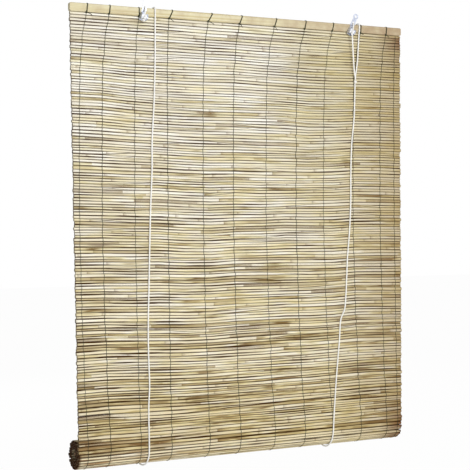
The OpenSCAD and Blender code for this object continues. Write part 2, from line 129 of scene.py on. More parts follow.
RIGHT_ROUTE = (
    (9, 10.3, -17), (9, 8.4, -9), (9, 8.3, -4), (9, 7.4, 1), (9, 4.6, 2.4), (9, -4.5, 2.4), (9, -8, 0.8),
    (9, -9.2, -4), (8.5, -9.2, -17), (8.2, -8.5, -24), (6.5, -7.5, -53), (3.2, -7.5, -94), (-4, -7.5, -140),
    (-5, -7.5, -166), (-8, -7.5, -236), (-16, -7.5, -307), (-19, -7.5, -378), (-20, -7.5, -449),
    (-24, -7.5, -520), (-31, -7.5, -590), (-34, -7.5, -643), (-37, -7.5, -690), (-41, -7.5, -722),
    (-52, -7.5, -746), (-57, -7.5, -800), (-67, -7.5, -896), (-75, -7.5, -995), (-77, -7.5, -1028),
    (-78, -5, -1042.5), (-78.5, 1, -1054), (-79, 10.5, -1062.5), (-79, 21.5, -1068), (-79, 34, -1069.5),
    (-79, 46, -1067.5), (-79, 57, -1061.5), (-78, 65, -1052.5), (-77, 70.5, -1041.5), (-75, 72, -1031),
    (-8, 9.5, -22), (-7.5, 8.3, -4), (-7.5, 7.4, 1), (-7.5, 4.6, 2.4), (-7.6, -5, 2.4), (-8, -8.5, 1.8),
    (-17.4, -20.05, -17.4), (-18.6, -20.75, -19.9), (-21.1, -20.7, -25.3), (-19.5, -20.2, -34),
    (-16.5, -18, -66), (-11, -14.5, -116), (-6, -12.5, -141),
)

# Camera, fitted to the rail's corners and the roll's end: place in metres, turns in degrees, and lens.
CAMERA_PLACE = (-1.3963, -2.6234, -0.5338)
CAMERA_TURNS = ((-26.956, "Z"), (89.672, "X"), (-0.488, "Z"))
CAMERA_LENS, CAMERA_SENSOR = 93.5, 36
# Lamps in front of and behind the blind, the point that they face, and their width and height.
KEY_PLACE, REAR_PLACE = (-0.25, -2.9, 0.15), (0.4, 2.9, 0.3)
LAMPS_FACE = Vector((-0.05, 0.0, -0.45))
LAMP_SIZE = (1.4, 1.0)
# Half of the floor's side in metres, and how much of its look is plain white, the rest keeping the shadow.
FLOOR_HALF, FLOOR_WHITE = 12, 0.97


def srgb(code):
    """Linear RGBA of an sRGB hex value."""
    parts = [int(code[i:i + 2], 16) / 255 for i in (1, 3, 5)]
    return (*[p / 12.92 if p <= 0.04045 else ((p + 0.055) / 1.055) ** 2.4 for p in parts], 1.0)


def colour_prop(name, description, code):
    return FloatVectorProperty(name=name, description=description, subtype="COLOR", size=4, min=0, max=1,
                               default=srgb(code))


def length_prop(name, description, size):
    """A length, given in millimetres."""
    return FloatProperty(name=name, description=description, default=size * MM, unit="LENGTH")


def share_prop(name, description, share, least=0, most=1):
    return FloatProperty(name=name, description=description, default=share, min=least, max=most,
                         subtype="FACTOR")


def count_prop(name, description, count, least):
    return IntProperty(name=name, description=description, default=count, min=least)


def power_prop(name, description, power):
    """A lamp's power in watts."""
    return FloatProperty(name=name, description=description, default=power, min=0, unit="POWER")


class BLIND_PG_reeds(bpy.types.PropertyGroup):
    rows: count_prop("Hanging reeds", "Rows of reeds between rail and roll", 149, 2)
    columns: count_prop("Points along a row", "Points that a row bends at", 14, 8)
    sides: count_prop("Sides", "Sides of a reed's round section", 8, 6)
    spread: share_prop("Thickness spread", "How much rows differ, as a share", 0.22, most=0.6)
    taper: share_prop("Taper", "How much a row's thickness drifts along it", 0.3, most=0.8)
    joined: share_prop("Joined rows", "Share of the rows that two reeds make up", 0.75)
    proud: length_prop("Stagger", "How far rows stand before or behind the mat's middle", 0.9)
    ragged: length_prop("Ragged edge", "How far the cut ends differ", 2.6)
    lift: length_prop("Lift", "How much higher the reeds' left ends stand", 9)
    left_lean: length_prop("Left lean", "How far the left edge leans in at the foot", 12)
    right_lean: length_prop("Right lean", "How far the right edge leans in at the foot", 4)
    under: length_prop("Under the rail", "Gap between the rail and the first reed", 0.4)
    hollow: length_prop("Hollow depth", "Depth of the hollow in a cut end", 5)
    bore: share_prop("Bore", "Hollow's share of a reed's thickness", 0.58, 0.2, 0.9)
    # Wear also sets the painted shade: darker in the hollows of the cut ends, lighter between reeds.
    wear: share_prop("Wear", "How brown the cut ends of the hanging reeds are", 0.12)
    seed: count_prop("Seed", "Picks the reeds", 11, 0)
    bark: colour_prop("Brown skin", "Weathered reeds", "#8a734d")
    tan: colour_prop("Tan skin", "Older reeds", "#cbbe97")
    straw: colour_prop("Straw skin", "Most reeds", "#eee7c5")
    bare: colour_prop("Bare skin", "Yellow stretches without a sheath", "#eadcae")
    cream: colour_prop("Cream skin", "Fresh reeds", "#fdf8e4")
    sheath: colour_prop("Pale sheath", "Papery leaf sheath that is left on", "#fffdf5")
    # Colour of the painted shade between reeds.
    valley_shade: colour_prop("Valley shade", "Painted shade between reeds", "#492d0f")


class BLIND_PG_roll(bpy.types.PropertyGroup):
    reeds: count_prop("Rolled reeds", "Reeds in the turns of the roll", 66, 4)
    columns: count_prop("Points along a reed", "Points along a rolled reed", 14, 8)
    radius: length_prop("Outer turn", "Radius of the outer turn's middle", 34)
    turn_pitch: length_prop("Turn pitch", "Distance between turns", 6.9)
    reed_pitch: length_prop("Reed pitch", "Distance of the reeds along a turn", 6.9)
    height: length_prop("Roll height", "Height of the roll's middle", -1049.9)
    # Wear also sets the painted shade: darker in the hollows of the cut ends, lighter between reeds.
    wear: share_prop("Wear", "How brown the cut ends of the rolled reeds are", 1.0)


class BLIND_PG_threads(bpy.types.PropertyGroup):
    thickness: length_prop("Thread", "Thickness of a warp thread", 1.4)
    step: length_prop("Step", "Distance of the points along a thread", 1.35)
    knot: length_prop("Knot", "Size of the knots under the rail", 5)
    ripple: length_prop("Ripple", "How far a thread sways between reeds", 0.7)
    tails: share_prop("Tails", "Share of the knots with a loose tail", 0.75)
    colour: colour_prop("Thread colour", "Dark green twisted thread", "#34361f")


class BLIND_PG_rail(bpy.types.PropertyGroup):
    light: colour_prop("Early wood", "Pale part of the grain", "#dcd4b2")
    dark: colour_prop("Late wood", "Darker lines of the grain", "#c8ba8c")
    # Colour of the painted shade at the rail's right end.
    tan: colour_prop("Shaded right end", "Tone of the darker end", "#ad9677")


class BLIND_PG_fittings(bpy.types.PropertyGroup):
    zinc: colour_prop("Zinc", "Plated straps", "#ccd2e2")
    nylon: colour_prop("Nylon", "Guide wheels", "#f1f3f8")
    steel: colour_prop("Bright steel", "Rivets, screws and staples", "#b4b6bd")


class BLIND_PG_cords(bpy.types.PropertyGroup):
    thickness: length_prop("Cord", "Thickness of a lift cord", 3.8)
    lay: length_prop("Lay", "Length of one turn of the strands", 11)
    step: length_prop("Step", "Distance of the points along a strand", 1.3)
    end_knot: length_prop("End knot", "Size of the knots at the tied ends", 8)
    pulled: share_prop("Pulled end", "Thickness of the cord in an end knot, as a share", 0.8)
    colour: colour_prop("Cotton", "Lift cords", "#fcfbf8")


class BLIND_PG_stage(bpy.types.PropertyGroup):
    drop: length_prop("Floor drop", "Floor below the blind's foot", 160)
    floor: colour_prop("Floor", "Pale floor", "#f4f3f0")
    key: power_prop("Key light", "Power of the large front light", 59)
    rear: power_prop("Rear light", "Power of the light on the back", 26)
    fill: share_prop("Fill", "Strength of the light from all round, as a share of white", 0.38)


def feed(node, *feeds):
    """Feeds a node's inputs, in order or from a dictionary of names, with values, nodes or their outputs."""
    ready = [s for s in node.inputs if s.enabled]
    named = feeds and isinstance(feeds[0], dict)
    for key, value in (feeds[0].items() if named else enumerate(feeds)):
        socket = ready[key] if isinstance(key, int) else next(s for s in ready if s.name == key)
        if isinstance(value, bpy.types.Node):
            value = next(s for s in value.outputs if s.enabled)
        if isinstance(value, bpy.types.NodeSocket):
            node.id_data.links.new(value, socket)
        else:
            socket.default_value = value


def add(tree, kind, *feeds, **settings):
    """Adds a node of a kind, which may come with its usual settings, and feeds its inputs."""
    kind, usual = (kind, {}) if isinstance(kind, str) else kind
    node = tree.nodes.new(kind)
    for name, value in {**usual, **settings}.items():
        setattr(node, name, value)
    feed(node, *feeds)
    return node


def start_tree(name, **inputs):
    """A geometry tree with named inputs of each kind: what adds its nodes, and its inputs."""
    tree = bpy.data.node_groups.new(name, "GeometryNodeTree")
    tree.interface.new_socket("Geometry", in_out="INPUT", socket_type="NodeSocketGeometry")
    for kind, labels in inputs.items():
        for label in labels.split(", "):
            tree.interface.new_socket(label, in_out="INPUT", socket_type="NodeSocket" + kind)
    tree.interface.new_socket("Geometry", in_out="OUTPUT", socket_type="NodeSocketGeometry")
    make = partial(add, tree)
    return make, make("NodeGroupInput").outputs


def end_tree(geometry, material):
    """Closes a tree: plain geometry with its material."""
    tree = geometry.id_data
    plain = add(tree, "GeometryNodeRealizeInstances", {"Geometry": geometry})
    dressed = add(tree, "GeometryNodeSetMaterial", {"Geometry": plain, "Material": material})
    add(tree, "NodeGroupOutput", {"Geometry": dressed})
    return tree


def grow(name, tree, values, data, node):
    """Runs a tree on a mesh or curve and keeps the result as a plain mesh in place of a CAD node."""
    source = bpy.data.objects.new(name + "_source", data)
    bpy.context.scene.collection.objects.link(source)
    modifier = source.modifiers.new("Build", "NODES")
    modifier.node_group = tree
    for item in tree.interface.items_tree:
        if item.in_out == "INPUT" and item.name in values:
            modifier[item.identifier] = values[item.name]
    graph = bpy.context.evaluated_depsgraph_get()
    mesh = bpy.data.meshes.new_from_object(source.evaluated_get(graph), depsgraph=graph)
    source.modifiers.remove(modifier)
    bpy.data.objects.remove(source)
    mesh.name = name
    if not mesh.polygons:
        raise RuntimeError(f"{name} came out empty")
    piece = bpy.data.objects.new(name, mesh)
    bpy.context.scene.collection.objects.link(piece)
    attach(piece, "blind")
    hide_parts(node)
    return piece


def start_material(name):
    """A material: what adds its nodes, its surface shader and its object coordinates."""
    material = bpy.data.materials.new(name)
    material.use_nodes = True
    make = partial(add, material.node_tree)
    shader = next(n for n in material.node_tree.nodes if n.type == "BSDF_PRINCIPLED")
    return material, make, shader, make("ShaderNodeTexCoord").outputs["Object"]


def dry_reed(sizes):
    """Dry common reed, cut with its skin on: satin straw skin whose tone drifts along each reed, some cells
    brown, faint rings at the nodes, fine fibres along the length, painted shade in the valleys between
    reeds, and cut ends browned by wear and painted shade, with painted shade nearly black in their hollows."""
    material, make, shader, place = start_material("dry_reed_skin")
    tone, pick, ends, flank, inside, wear = [
        make("ShaderNodeAttribute", attribute_name="reed_" + name).outputs["Fac"]
        for name in ("tone", "pick", "end", "flank", "inside", "wear")]
    x, _, z = make("ShaderNodeSeparateXYZ", place).outputs
    foot = make(RANGE, z, MAT_HIGH.z, ROLL_LOW.z)

    # Patterns that differ from reed to reed: stretches of skin about 90 mm long, bare stretches of 60 to
    # 200 mm, and sun spots about 170 mm long and 80 mm high.
    patch, bare, spot = [
        make(NOISE, make(VECTOR, *[make(TIMES, *pair) for pair in zip((x, pick, z), scales)]), 1.0, detail)
        for detail, *scales in ((2.0, 11.0, 91.0, 90.0), (1.0, 8.0, 53.0, 1.0), (2.0, 6.0, 1.5, 13.0))]
    # Fibres about 1 mm apart and 150 mm long, and stretches of about 200 mm where the painted shade between
    # reeds is wider.
    fibre, shade_width = [
        make(NOISE, make("ShaderNodeMapping", {"Vector": place, "Scale": scale}), 1.0, detail)
        for scale, detail in (((7.0, 900.0, 900.0), 3.0), ((5.0, 0.0, 95.0), 1.0))]

    # Cells between nodes are 120 to 260 mm long, and each has its own chance. The odd factors keep what is
    # drawn from a reed's pick apart.
    cell_length = make(TIMES_PLUS, make(FRACTION, make(TIMES, pick, 7.31)), 0.14, 0.12)
    along = make(TIMES_PLUS, pick, 13.7, make(OVER, x, cell_length))
    from_node = make(TIMES, make(FRACTION, along), cell_length)
    number = make(VECTOR, make(FLOOR, along), make(TIMES, pick, 91.0), 0.0)
    chance = make("ShaderNodeTexWhiteNoise", {"Vector": number}, noise_dimensions="2D")

    # Tone: the reed's own, a step from cell to cell, and a drift along it that is stronger towards the foot.
    step = make(TIMES_PLUS, chance, 0.34, -0.17)
    drift = make(TIMES, make(MINUS, patch, 0.5), make(TIMES_PLUS, foot, 2.6, 2.0))
    level = make(PLUS, make(PLUS, tone, step), drift, use_clamp=True)
    ramp = make("ShaderNodeValToRGB", level)
    stops = ((0.0, sizes.bark), (0.22, sizes.tan), (0.48, sizes.straw), (0.76, sizes.cream),
             (1.0, sizes.sheath))
    while len(ramp.color_ramp.elements) < len(stops):
        ramp.color_ramp.elements.new(0.5)
    for element, (at, colour) in zip(ramp.color_ramp.elements, stops):
        element.position = at
        element.color = colour

    browned = make(TIMES_PLUS, foot, 0.05, chance)
    bared = make(TIMES_PLUS, foot, 0.16, bare)
    warm = make(MOST, make(RANGE, x, 0.1, 0.43), foot)
    off_middle = make(ABSOLUTE, make(PLUS, z, -(MAT_LOW.z + MAT_HIGH.z) / 2))
    # Every third node shows.
    shows = make(BELOW, make(FRACTION, make(TIMES, chance, 7.77)), 0.35)
    at_node = make(BELOW, from_node, 1.8 * MM)
    # Painted shade between reeds is wider at the left and in those stretches, more so towards the foot,
    # where it is also darker.
    shade_width = make(TIMES, make(RANGE, shade_width, 0.34, 0.66, -0.14, 0.12), make(TIMES_PLUS, foot, 0.7, 0.4))
    valley_shade = make(PLUS, flank, make(PLUS, make(RANGE, x, -0.45, 0.35, 0.05, -0.02), shade_width))
    valley_shade = make(TIMES, make(RANGE, valley_shade, 0.2, 0.36), make(RANGE, patch, 0.36, 0.6, 0.35, 1.35))
    deep = make(TIMES_PLUS, wear, -0.42, make(TIMES_PLUS, foot, 0.22, 0.88))
    valley_shade = make(TIMES, valley_shade, deep, use_clamp=True)

    # Layers on the skin, from the lowest up: how each lies on, its colour, and the ranges that its share is
    # the product of.
    layers = (
        # One cell in thirty is brown all along, more towards the foot, and one in eight is bleached white.
        (COAT, sizes.bark, (browned, 0.966, 0.968, 0.0, 0.75)),
        (COAT, sizes.sheath, (chance, 0.132, 0.13, 0.0, 0.9)),
        # Bare stretches are more common towards the foot. Fibres streak every skin.
        (COAT, sizes.bare, (bared, 0.5, 0.62, 0.0, 0.45)),
        (FILTER, make(RANGE, fibre, 0.3, 0.7, 0.8, 1.06), (1.0,)),
        # Skins are yellower at the foot and the right ends. Sun has greyed stretches elsewhere.
        (FILTER, srgb("#fbf5e4"), (warm,)),
        (COAT, srgb("#ded6c6"), (spot, 0.42, 0.62, 0.0, 0.65), (warm, 1.0, 0.0)),
        # Papery sheaths are left on under the rail. The right ends are browner, weathered and also painted
        # shade of the light falling off to the right.
        (COAT, sizes.sheath, (z, -0.14, -0.05, 0.0, 0.12)),
        (COAT, srgb("#8a683f"), (x, 0.22, 0.43, 0.0, 0.8), (fibre,)),
        # The upper right is darker, painted shade of the light falling off to the right. The mat's foot just
        # over the roll is darker too.
        (FILTER, srgb("#e9e4d2"), (x, 0.02, 0.16), (z, -0.6, -0.12, 0.2)),
        (FILTER, srgb("#f4f1ea"), (z, -0.9, -0.96), (wear, 1.0, 0.0)),
        # Old water stains lie in the two right corners, and the roll is soiled at its left by handling.
        (COAT, srgb("#74492a"), (off_middle, 0.42, 0.5), (x, 0.35, 0.42), (patch, 0.34, 0.5, 0.0, 0.95)),
        (COAT, srgb("#855832"), (z, -1.0, -1.06), (x, -0.05, -0.4), (patch, 0.52, 0.42, 0.0, 0.75)),
        # A node that shows has a stain of 12 mm beside it, and a ring of 1.8 mm.
        (COAT, srgb("#86683f"), (from_node, 0.0, 12 * MM, 0.4, 0.0), (shows,)),
        (COAT, srgb("#5b432a"), (at_node, 0.0, 1.0, 0.0, 0.35), (shows,)),
        # Painted shade lies in the valleys between reeds. Cut ends are brown over 7 mm, part wear and part
        # painted shade, and the hollow is painted nearly black as shade.
        (COAT, sizes.valley_shade, (valley_shade,)),
        (COAT, srgb("#43250f"), (ends, 0.0, 7 * MM, 0.95, 0.0), (wear,)),
        (COAT, srgb("#1f0f06"), (inside,), (wear, 0.0, 1.0, 0.5, 1.0)),
    )
    skin = ramp
    for kind, colour, *ranges in layers:
        share = 1.0
        for feeds in ranges:
            share = make(TIMES, share, make(RANGE, *feeds))
        skin = make(kind, share, skin, colour)
    rough = make(MOST, make(RANGE, level, 0.0, 1.0, 0.45, 0.72), valley_shade)
    bump = make("ShaderNodeBump", {"Strength": 0.35, "Distance": 0.4 * MM, "Height": fibre})
    feed(shader, {"Base Color": skin, "Specular IOR Level": 0.05, "Roughness": rough, "Normal": bump})
    return material


def planed_pine(colours):
    """Pine, planed and left raw: pale early wood with soft darker lines along the length, dull all over, and
    the right end darker and tan, painted shade of the light falling off towards it."""
    material, make, shader, place = start_material("planed_pine")
    # Grain lines 4 to 6 mm apart that run for half a metre, and clouds about 26 mm across in the shaded
    # right end.
    stretched = make("ShaderNodeMapping", {"Vector": place, "Scale": (2.0, 170.0, 260.0)})
    grain = make(NOISE, {"Vector": stretched, "Scale": 1.0, "Detail": 4.0, "Distortion": 0.4})
    cloud = make(NOISE, place, 38.0, 3.0)
    x = make("ShaderNodeSeparateXYZ", place).outputs["X"]
    # Painted shade: the right end turns darker and tan as the light falls off towards it, in clouds.
    right_end_shade = make(RANGE, x, -0.1, RAIL_HIGH.x, 0.0, 0.85)
    right_end_shade = make(PLUS, right_end_shade, make(TIMES_PLUS, cloud, 1.3, -0.55), use_clamp=True)
    wood = make(COAT, make(RANGE, grain, 0.42, 0.66), colours.light, colours.dark)
    wood = make(COAT, right_end_shade, wood, colours.tan)
    bump = make("ShaderNodeBump", {"Strength": 0.25, "Distance": 0.3 * MM, "Height": grain})
    feed(shader, {"Base Color": wood, "Roughness": 0.62, "Normal": bump})
    return material


def aged_batten():
    """A sawn softwood batten, dark with age and dust: brown, dull, with rough lines along its length."""
    material, make, shader, place = start_material("sawn_batten_aged")
    # Saw lines 1.5 mm apart.
    stretched = make("ShaderNodeMapping", {"Vector": place, "Scale": (4.0, 640.0, 640.0)})
    lines = make(NOISE, stretched, 1.0, 3.0)
    wood = make(COAT, lines, srgb("#4b3319"), srgb("#7a5c36"))
    bump = make("ShaderNodeBump", {"Strength": 0.4, "Distance": 0.4 * MM, "Height": lines})
    feed(shader, {"Base Color": wood, "Roughness": 0.8, "Normal": bump})
    return material


def twisted_thread(colour):
    """Polyester thread, twisted: nearly black green, dull, with a fine diagonal twist."""
    material, make, shader, place = start_material("twisted_polyester_thread")
    # Twist lines about 1 mm apart.
    twist = make("ShaderNodeTexWave", {"Vector": place, "Scale": 300.0, "Distortion": 1.0},
                 bands_direction="DIAGONAL").outputs["Fac"]
    body = make(FILTER, 1.0, colour, make(RANGE, twist, 0.0, 1.0, 0.7, 1.25))
    feed(shader, {"Base Color": body, "Roughness": 0.85})
    return material


def zinc_plate(colour):
    """Zinc-plated sheet steel: a cool pale metal with faint crystals about 3 mm across and a soft shine."""
    material, make, shader, place = start_material("zinc_plated_sheet")
    crystal = make("ShaderNodeTexVoronoi", {"Vector": place, "Scale": 330.0}).outputs["Color"]
    level = make("ShaderNodeSeparateXYZ", crystal).outputs["X"]
    body = make(FILTER, 1.0, colour, make(RANGE, level, 0.0, 1.0, 0.86, 1.05))
    rough = make(RANGE, level, 0.0, 1.0, 0.28, 0.44)
    feed(shader, {"Base Color": body, "Metallic": 1.0, "Roughness": rough})
    return material


def moulded_nylon(colour):
    """White nylon, moulded: milky, with a satin skin and slight flow marks about 6 mm across."""
    material, make, shader, place = start_material("moulded_nylon")
    flow = make(NOISE, place, 160.0, 2.0)
    body = make(FILTER, 1.0, colour, make(RANGE, flow, 0.0, 1.0, 0.93, 1.04))
    feed(shader, {"Base Color": body, "Roughness": 0.36, "IOR": 1.53})
    return material


def drawn_steel(colour):
    """Bright steel, drawn and headed: smooth metal with fine lines of about 0.3 mm."""
    material, make, shader, place = start_material("bright_drawn_steel")
    lines = make(NOISE, place, 2800.0, 1.0)
    body = make(FILTER, 1.0, colour, make(RANGE, lines, 0.0, 1.0, 0.85, 1.06))
    rough = make(RANGE, lines, 0.0, 1.0, 0.2, 0.42)
    feed(shader, {"Base Color": body, "Metallic": 1.0, "Roughness": rough})
    return material


def laid_cotton(colour):
    """Cotton cord, laid from three strands: bright, dull and slightly hairy, a little grey where handled."""
    material, make, shader, place = start_material("laid_cotton")
    # Yarn lines about 0.7 mm apart, and handled stretches about 70 mm long.
    yarn, wear = [make(NOISE, place, scale, 2.0) for scale in (1500.0, 14.0)]
    body = make(FILTER, 1.0, colour, make(RANGE, yarn, 0.25, 0.75, 0.86, 1.03))
    body = make(COAT, make(RANGE, wear, 0.55, 0.8, 0.0, 0.25), body, srgb("#d5d0c4"))
    bump = make("ShaderNodeBump", {"Strength": 0.3, "Distance": 0.2 * MM, "Height": yarn})
    feed(shader, {"Base Color": body, "Roughness": 0.9, "Sheen Weight": 0.2, "Normal": bump})
    return material


def reed_grid(make, given, reeds):
    """Points for reeds of so many columns each: the points, and for every point its reed, its column, its
    share of the way along, its side from -1 to 1, and the seeds to draw with."""
    columns = given["Columns"]
    points = make("GeometryNodePoints", {"Count": make(TIMES, reeds, columns)})
    index = make("GeometryNodeInputIndex")
    reed = make(FLOOR, make(OVER, index, columns))
    column = make(MINUS, index, make(TIMES, reed, columns))
    share = make(OVER, column, make(MINUS, columns, 1.0))
    side = make(TIMES_PLUS, share, 2.0, -1.0)
    seeds = [make(PLUS, given["Seed"], float(k)) for k in range(14)]
    return points, reed, column, share, side, seeds


def reed_tubes(make, given, points, place, out, **values):
    """Turns points into reeds: tapered round tubes with a hollow in each cut end. Points whose part in their
    reed is below nought are left out."""
    values["wear"] = given["Wear"]
    for name, value in values.items():
        points = make(STORE, {"Geometry": points, "Name": "reed_" + name, "Value": value})
    points = make(STORE_VECTOR, {"Geometry": points, "Name": "reed_out", "Value": out})
    points = make(MOVE, {"Geometry": points, "Position": make(VECTOR, *place)})
    part = make(STORED, {"Name": "reed_part"})
    none = make("FunctionNodeCompare", {"A": part, "B": 0.0}, data_type="FLOAT", operation="LESS_THAN")
    points = make("GeometryNodeDeleteGeometry", {"Geometry": points, "Selection": none}, domain="POINT")
    group, order, radius = [make(STORED, {"Name": "reed_" + name}) for name in ("group", "order", "radius")]
    curves = make("GeometryNodePointsToCurves", {"Points": points, "Curve Group ID": group, "Weight": order})
    gone = make("GeometryNodeSplineParameter").outputs["Length"]
    left = make(MINUS, make("GeometryNodeSplineLength"), gone)
    curves = make(STORE, {"Geometry": curves, "Name": "reed_end", "Value": make(LEAST, gone, left)})
    here = make(PLACE)
    curves = make(STORE_VECTOR, {"Geometry": curves, "Name": "reed_middle", "Value": here})
    section = make(SECTION, {"Resolution": given["Sides"], "Radius": 1.0})
    tubes = make(SWEEP, {"Curve": curves, "Profile Curve": section, "Scale": radius, "Fill Caps": True})
    # How far a place on the skin is turned from the mat's face into the gap between reeds, which masks the
    # painted shade there.
    middle, out = [make(STORED_VECTOR, {"Name": "reed_" + name}) for name in ("middle", "out")]
    facing = make(ABSOLUTE, make(DOT, make(OFFSET, here, middle), out))
    flank = make(MINUS, 1.0, make(OVER, facing, radius), use_clamp=True)
    tubes = make(STORE, {"Geometry": tubes, "Name": "reed_flank", "Value": flank})
    # The caps are the faces with more than four corners.
    corners = make("GeometryNodeInputMeshFaceNeighbors")
    cut = make("FunctionNodeCompare", {"A": corners, "B": 4}, data_type="INT", operation="GREATER_THAN")
    rim = make("GeometryNodeExtrudeMesh", {"Mesh": tubes, "Selection": cut, "Offset Scale": 0.0}).outputs
    mouth = make("GeometryNodeScaleElements", {"Geometry": rim["Mesh"], "Selection": rim["Top"],
                                               "Scale": given["Bore"]})
    depth = make(TIMES, given["Hollow"], -1.0)
    bore = make("GeometryNodeExtrudeMesh", {"Mesh": mouth, "Selection": rim["Top"],
                                            "Offset Scale": depth}).outputs
    # The faces of the hollow are marked, for the painted shade in it.
    dark = make("FunctionNodeBooleanMath", bore["Top"], bore["Side"], operation="OR")
    tubes = make(STORE, {"Geometry": bore["Mesh"], "Name": "reed_inside", "Value": dark}, domain="FACE")
    # Edges that turn by less than a radian are smooth.
    turn = make("GeometryNodeInputMeshEdgeAngle")
    soft = make("FunctionNodeCompare", {"A": turn, "B": 1.0}, data_type="FLOAT", operation="LESS_THAN")
    return make(SMOOTH, {"Geometry": tubes, "Shade Smooth": soft}, domain="EDGE")


def hanging_tree():
    """Rows of reeds side by side. A row is one reed, or two whose tip and butt run out beside each other.
    Each row has its own thickness, which drifts along it, and its height follows from the rows above."""
    make, given = start_tree(
        "Hanging reeds", Int="Rows, Columns, Sides, Seed", Material="Material",
        Float="Left, Width, Middle, Top, Height, Spread, Taper, Joined, Proud, Ragged, Lift, Left lean, "
              "Right lean, Hollow, Bore, Wear")
    rows = given["Rows"]
    points, reed, column, share, side, seeds = reed_grid(make, given, make(TIMES, rows, 2.0))
    row = make(FLOOR, make(TIMES, reed, 0.5))
    second = make(MINUS, reed, make(TIMES, row, 2.0))
    first = make(MINUS, 1.0, second)

    # Thickness of the row, and from its running sum down each column the row's upper edge. Rows differ more
    # towards the foot.
    thin, thick = [make(kind, 1.0, given["Spread"]) for kind in (MINUS, PLUS)]
    base = make(RANDOM, thin, thick, row, seeds[0])
    low = make(TIMES_PLUS, make(OVER, row, rows), 0.9, 0.6)
    base = make(TIMES_PLUS, make(MINUS, base, 1.0), low, 1.0)
    where = make(VECTOR, make(TIMES, share, 3.0), make(TIMES, row, 7.7), given["Seed"])
    swell = make(TIMES_PLUS, make(NOISE, where, 1.0, 1.0), 2.0, -1.0)
    lane = make(TIMES, base, make(TIMES_PLUS, swell, given["Taper"], 1.0))
    once = make(TIMES, lane, first)
    stack = make("GeometryNodeAccumulateField", {"Value": once, "Group ID": column}).outputs
    scale = make(OVER, given["Height"], stack["Total"])
    above = make(MINUS, stack["Trailing"], make(TIMES, lane, second))

    # Where the row has a joint, the second reed takes over from the first. A row without one stays far
    # before it.
    at = make(RANDOM, 0.08, 0.92, row, seeds[1])
    run = make(RANDOM, 0.03, 0.22, row, seeds[2])
    there = make(BELOW, make(RANDOM, 0.0, 1.0, row, seeds[3]), given["Joined"])
    past = make(PLUS, make(OVER, make(MINUS, share, at), run), 0.5)
    past = make("ShaderNodeMix", there, -99.0, past, data_type="FLOAT")
    way = make(TIMES_PLUS, second, 2.0, -1.0)
    # A tip ends in a last point just past the place where its share is used up.
    beyond = make(OVER, 1.0, make(TIMES, run, make(MINUS, given["Columns"], 1.0)))
    kept = make(PLUS, make(TIMES_PLUS, past, way, first), beyond)
    past = make(PLUS, past, 0.0, use_clamp=True)
    mine = make(TIMES_PLUS, past, way, first)
    flip = make(BELOW, make(RANDOM, 0.0, 2.0, row, seeds[4]), 1.0)
    below = make(ABSOLUTE, make(MINUS, second, flip))
    middle = make(TIMES_PLUS, below, make(MINUS, 1.0, mine), make(TIMES, mine, 0.5))
    down = make(TIMES, make(TIMES_PLUS, lane, middle, above), scale)
    depth = make(OVER, down, given["Height"])

    # Place of every point: between the ragged edges, staggered, and slightly bowed.
    uneven = [make(RANDOM, 0.0, given["Ragged"], row, seed) for seed in (seeds[5], seeds[6])]
    in_left, in_right = [make(TIMES_PLUS, given[lean], depth, edge)
                         for lean, edge in zip(("Left lean", "Right lean"), uneven)]
    room = make(MINUS, given["Width"], make(PLUS, in_left, in_right))
    x = make(TIMES_PLUS, share, room, make(PLUS, in_left, given["Left"]))
    back = make(TIMES, given["Proud"], -1.0)
    proud = make(RANDOM, back, given["Proud"], row, seeds[7])
    tilt = make(TIMES, make(RANDOM, back, given["Proud"], reed, seeds[8]), 0.5)
    y = make(PLUS, make(TIMES_PLUS, tilt, side, proud), given["Middle"])
    waves = make(RANDOM, 1.5, 5.0, row, seeds[9])
    phase = make(RANDOM, 0.0, 6.28, row, seeds[10])
    bow = make(SINE, make(TIMES_PLUS, side, waves, phase))
    z = make(TIMES_PLUS, bow, 0.15 * MM, make(MINUS, given["Top"], down))
    # The left ends stand higher from below the rail on, and the last reeds are level with the roll again.
    lift = make(SMOOTH_RANGE, share, 0.32, 0.0)
    for start, stop in ((0.02, 0.24), (1.0, 0.84)):
        lift = make(TIMES, lift, make(SMOOTH_RANGE, depth, start, stop))
    z = make(TIMES_PLUS, lift, given["Lift"], z)
    # Reeds press on each other, so their radius is more than half of the lane.
    full = make(RANDOM, 0.53, 0.57, reed, seeds[11])
    radius = make(TIMES, make(TIMES, lane, scale), mine)
    radius = make(MOST, make(TIMES, radius, full), 0.3 * MM)
    # Reeds are paler under the rail and browner towards the foot, which paints the shade of the light
    # falling off downwards.
    luck = make(RANDOM, -0.5, 0.5, reed, seeds[12])
    downward_shade = make(RANGE, depth, 0.0, 1.0, 0.84, 0.67)
    tone = make(TIMES_PLUS, luck, make(TIMES_PLUS, depth, 0.9, 0.55), downward_shade, use_clamp=True)
    pick = make(RANDOM, 0.0, 1.0, reed, seeds[13])
    tubes = reed_tubes(make, given, points, (x, y, z), (0.0, -1.0, 0.0), tone=tone, pick=pick, radius=radius,
                       group=reed, order=column, part=kept)
    return end_tree(tubes, given["Material"])


